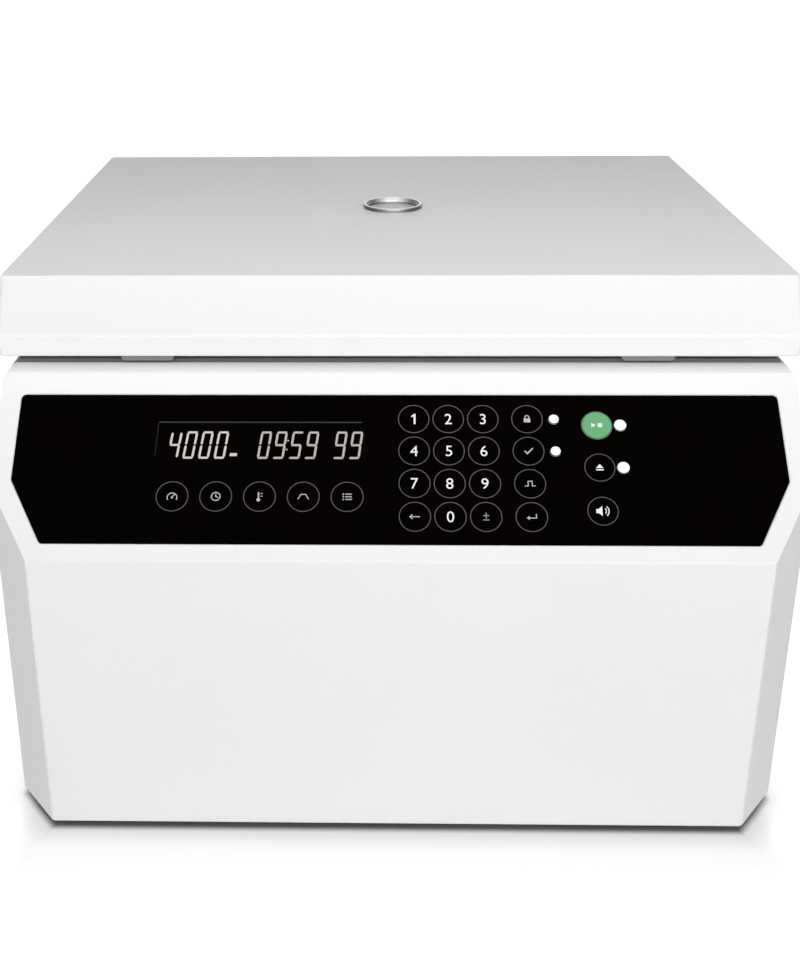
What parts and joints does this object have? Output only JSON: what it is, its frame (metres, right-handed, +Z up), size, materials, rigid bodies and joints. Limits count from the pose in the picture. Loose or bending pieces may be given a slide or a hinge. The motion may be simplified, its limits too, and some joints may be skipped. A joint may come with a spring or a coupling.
{
  "type": "cytocentrifuge",
  "caption": "Bench cytocentrifuge with a sloping keypad panel, a rear-hinged lid with a small round window, and a rotor of sample funnels and glass slides in a steel chamber.",
  "frame": {"origin": "on the bench under the middle of the instrument", "axes": "+X to the instrument's right as its user sees it, +Y to the back, +Z up"},
  "size_m": [0.4226, 0.436, 0.2872],
  "materials": {
    "pan_steel": "galvanised sheet",
    "white_paint": "fine powder coat",
    "white_moulding": "satin moulding",
    "dark_deck": "fine texture",
    "black_overlay": "smooth",
    "display_pane": "smoked",
    "lamp_white": "diffuse lens",
    "board_green": "solder mask",
    "bowl_steel": "spun",
    "grey_rubber": "matt",
    "motor_cast": "cast",
    "bracket_steel": "zinc plated",
    "black_rubber": "matt",
    "back_paint": "powder coat",
    "inlet_black": "moulded",
    "pin_steel": "ground",
    "rocker_black": "moulded",
    "lid_paint": "fine powder coat",
    "liner_grey": "moulded",
    "window_ring": "polished",
    "window_glass": "clear",
    "guard_grey": "moulded",
    "rotor_alloy": "anodised",
    "clip_steel": "spring steel",
    "slide_glass": "clear",
    "funnel_white": "moulded",
    "clear_cover": "clear plastic",
    "key_black": "smooth",
    "key_green": "smooth"
  },
  "bodies": {
    "base": {"base_pan": "pan_steel", "housing": "white_paint", "front_cover": "white_moulding", "top_deck": "dark_deck", "control_overlay": "black_overlay", "display_window": "display_pane", "status_lamps": "lamp_white", "circuit_boards": "board_green", "chamber_bowl": "bowl_steel", "chamber_gasket": "grey_rubber", "motor": "motor_cast", "motor_plate": "bracket_steel", "vibration_mounts": "black_rubber", "rear_panel": "back_paint", "power_inlet": "inlet_black", "rubber_feet": "black_rubber", "hinge_brackets": "bracket_steel", "hinge_pins": "pin_steel", "latch_frames": "bracket_steel", "lock_gearbox": "inlet_black"},
    "lid": {"lid_cover": "lid_paint", "lid_liner": "liner_grey", "lid_window_ring": "window_ring", "lid_window": "window_glass", "latch_guards": "guard_grey", "latch_strikers": "pin_steel", "hinge_arms": "bracket_steel"},
    "lock": {"lock_shaft": "pin_steel", "lock_hooks": "bracket_steel"},
    "rocker": {"power_rocker": "rocker_black"},
    "rotor": {"drive_shaft": "pin_steel", "rotor_head": "rotor_alloy", "slide_clips": "clip_steel", "glass_slides": "slide_glass", "sample_funnels": "funnel_white"},
    "rotor_cover": {"rotor_lid": "clear_cover"},
    "key_0": {"key_0": "key_black"},
    "key_1": {"key_1": "key_black"},
    "key_2": {"key_2": "key_black"},
    "key_3": {"key_3": "key_black"},
    "key_4": {"key_4": "key_black"},
    "key_5": {"key_5": "key_black"},
    "key_6": {"key_6": "key_black"},
    "key_7": {"key_7": "key_black"},
    "key_8": {"key_8": "key_black"},
    "key_9": {"key_9": "key_black"},
    "key_back": {"key_back": "key_black"},
    "key_sign": {"key_sign": "key_black"},
    "key_lock": {"key_lock": "key_black"},
    "key_at_speed": {"key_at_speed": "key_black"},
    "key_pulse": {"key_pulse": "key_black"},
    "key_enter": {"key_enter": "key_black"},
    "key_speed": {"key_speed": "key_black"},
    "key_time": {"key_time": "key_black"},
    "key_temp": {"key_temp": "key_black"},
    "key_ramp": {"key_ramp": "key_black"},
    "key_program": {"key_program": "key_black"},
    "key_start_stop": {"key_start_stop": "key_green"},
    "key_open": {"key_open": "key_black"},
    "key_sound": {"key_sound": "key_black"}
  },
  "joints": [
    {"name": "lid_hinge", "type": "hinge", "parent": "base", "child": "lid", "pos_m": [0, 0.202, 0.24598], "axis": [-1, 0, 0], "range_deg": [0, 75], "stiffness_Nm_per_rad": 3, "springref_deg": 111.73},
    {"name": "lid_lock", "type": "hinge", "parent": "base", "child": "lock", "pos_m": [0, -0.12035, 0.19958], "axis": [-1, 0, 0], "range_deg": [0, 16]},
    {"name": "rotor_spin", "type": "hinge", "parent": "base", "child": "rotor", "pos_m": [0, 0.032, 0.1165], "axis": [0, 0, 1], "continuous": true},
    {"name": "rotor_lid_lift", "type": "slide", "parent": "rotor", "child": "rotor_cover", "axis": [0, 0, 1], "range_m": [0, 0.025]},
    {"name": "power_switch", "type": "hinge", "parent": "base", "child": "rocker", "pos_m": [-0.1, 0.2133, 0.048], "axis": [-1, 0, 0], "range_deg": [0, 16]},
    {"name": "key_0_press", "type": "slide", "parent": "base", "child": "key_0", "axis": [0, 0.6765, -0.7365], "range_m": [0, 0.0005], "stiffness_N_per_m": 400},
    {"name": "key_1_press", "type": "slide", "parent": "base", "child": "key_1", "axis": [0, 0.6765, -0.7365], "range_m": [0, 0.0005], "stiffness_N_per_m": 400},
    {"name": "key_2_press", "type": "slide", "parent": "base", "child": "key_2", "axis": [0, 0.6765, -0.7365], "range_m": [0, 0.0005], "stiffness_N_per_m": 400},
    {"name": "key_3_press", "type": "slide", "parent": "base", "child": "key_3", "axis": [0, 0.6765, -0.7365], "range_m": [0, 0.0005], "stiffness_N_per_m": 400},
    {"name": "key_4_press", "type": "slide", "parent": "base", "child": "key_4", "axis": [0, 0.6765, -0.7365], "range_m": [0, 0.0005], "stiffness_N_per_m": 400},
    {"name": "key_5_press", "type": "slide", "parent": "base", "child": "key_5", "axis": [0, 0.6765, -0.7365], "range_m": [0, 0.0005], "stiffness_N_per_m": 400},
    {"name": "key_6_press", "type": "slide", "parent": "base", "child": "key_6", "axis": [0, 0.6765, -0.7365], "range_m": [0, 0.0005], "stiffness_N_per_m": 400},
    {"name": "key_7_press", "type": "slide", "parent": "base", "child": "key_7", "axis": [0, 0.6765, -0.7365], "range_m": [0, 0.0005], "stiffness_N_per_m": 400},
    {"name": "key_8_press", "type": "slide", "parent": "base", "child": "key_8", "axis": [0, 0.6765, -0.7365], "range_m": [0, 0.0005], "stiffness_N_per_m": 400},
    {"name": "key_9_press", "type": "slide", "parent": "base", "child": "key_9", "axis": [0, 0.6765, -0.7365], "range_m": [0, 0.0005], "stiffness_N_per_m": 400},
    {"name": "key_back_press", "type": "slide", "parent": "base", "child": "key_back", "axis": [0, 0.6765, -0.7365], "range_m": [0, 0.0005], "stiffness_N_per_m": 400},
    {"name": "key_sign_press", "type": "slide", "parent": "base", "child": "key_sign", "axis": [0, 0.6765, -0.7365], "range_m": [0, 0.0005], "stiffness_N_per_m": 400},
    {"name": "key_lock_press", "type": "slide", "parent": "base", "child": "key_lock", "axis": [0, 0.6765, -0.7365], "range_m": [0, 0.0005], "stiffness_N_per_m": 400},
    {"name": "key_at_speed_press", "type": "slide", "parent": "base", "child": "key_at_speed", "axis": [0, 0.6765, -0.7365], "range_m": [0, 0.0005], "stiffness_N_per_m": 400},
    {"name": "key_pulse_press", "type": "slide", "parent": "base", "child": "key_pulse", "axis": [0, 0.6765, -0.7365], "range_m": [0, 0.0005], "stiffness_N_per_m": 400},
    {"name": "key_enter_press", "type": "slide", "parent": "base", "child": "key_enter", "axis": [0, 0.6765, -0.7365], "range_m": [0, 0.0005], "stiffness_N_per_m": 400},
    {"name": "key_speed_press", "type": "slide", "parent": "base", "child": "key_speed", "axis": [0, 0.6765, -0.7365], "range_m": [0, 0.0005], "stiffness_N_per_m": 400},
    {"name": "key_time_press", "type": "slide", "parent": "base", "child": "key_time", "axis": [0, 0.6765, -0.7365], "range_m": [0, 0.0005], "stiffness_N_per_m": 400},
    {"name": "key_temp_press", "type": "slide", "parent": "base", "child": "key_temp", "axis": [0, 0.6765, -0.7365], "range_m": [0, 0.0005], "stiffness_N_per_m": 400},
    {"name": "key_ramp_press", "type": "slide", "parent": "base", "child": "key_ramp", "axis": [0, 0.6765, -0.7365], "range_m": [0, 0.0005], "stiffness_N_per_m": 400},
    {"name": "key_program_press", "type": "slide", "parent": "base", "child": "key_program", "axis": [0, 0.6765, -0.7365], "range_m": [0, 0.0005], "stiffness_N_per_m": 400},
    {"name": "key_start_stop_press", "type": "slide", "parent": "base", "child": "key_start_stop", "axis": [0, 0.6765, -0.7365], "range_m": [0, 0.0005], "stiffness_N_per_m": 400},
    {"name": "key_open_press", "type": "slide", "parent": "base", "child": "key_open", "axis": [0, 0.6765, -0.7365], "range_m": [0, 0.0005], "stiffness_N_per_m": 400},
    {"name": "key_sound_press", "type": "slide", "parent": "base", "child": "key_sound", "axis": [0, 0.6765, -0.7365], "range_m": [0, 0.0005], "stiffness_N_per_m": 400}
  ]
}
